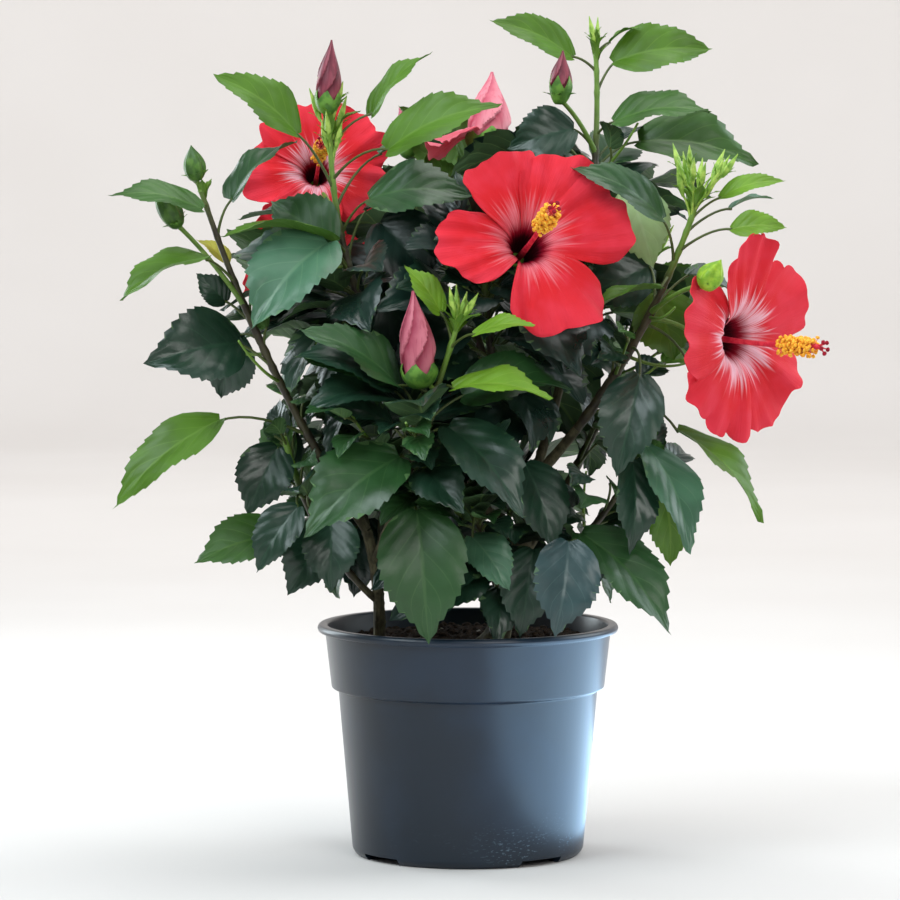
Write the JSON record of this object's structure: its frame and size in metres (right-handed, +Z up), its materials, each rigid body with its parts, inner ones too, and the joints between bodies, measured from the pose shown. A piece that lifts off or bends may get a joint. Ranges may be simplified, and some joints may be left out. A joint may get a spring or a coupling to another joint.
{
  "type": "potted hibiscus shrub",
  "caption": "Bushy flowering hibiscus with toothed leaves, open funnel flowers and furled buds on woody stems, in a flared nursery pot filled with potting mix.",
  "frame": {"origin": "middle of the pot's flat underside", "axes": "+Z up through the pot and the crown; the plant's best side faces -Y, and +X is that viewer's right"},
  "size_m": [0.4123, 0.3109, 0.4981],
  "materials": {
    "pot": "satin moulded plastic",
    "soil": "moist potting mix",
    "bark": "young bark",
    "foliage": "leathery leaves"
  },
  "bodies": {
    "root": {"pot": "pot", "soil": "soil", "trunk": "bark", "left_stem": "bark", "bough_front": "bark", "shoot_front": "foliage", "bough_right": "bark", "shoot_right": "foliage", "bough_left": "bark", "shoot_left": "foliage", "bough_top_left": "bark", "shoot_top_left": "foliage", "bough_middle": "bark", "shoot_middle": "foliage", "bough_top_right": "bark", "shoot_top_right": "foliage", "bough_back": "bark", "shoot_back": "foliage", "bough_back_left": "bark", "shoot_back_left": "foliage", "bough_back_right": "bark", "shoot_back_right": "foliage", "bough_inner": "bark", "shoot_inner": "foliage", "bough_low_left": "bark", "shoot_low_left": "foliage", "bough_low_front": "bark", "shoot_low_front": "foliage", "bough_low_right": "bark", "shoot_low_right": "foliage", "bough_low_back": "bark", "shoot_low_back": "foliage"}
  },
  "joints": []
}
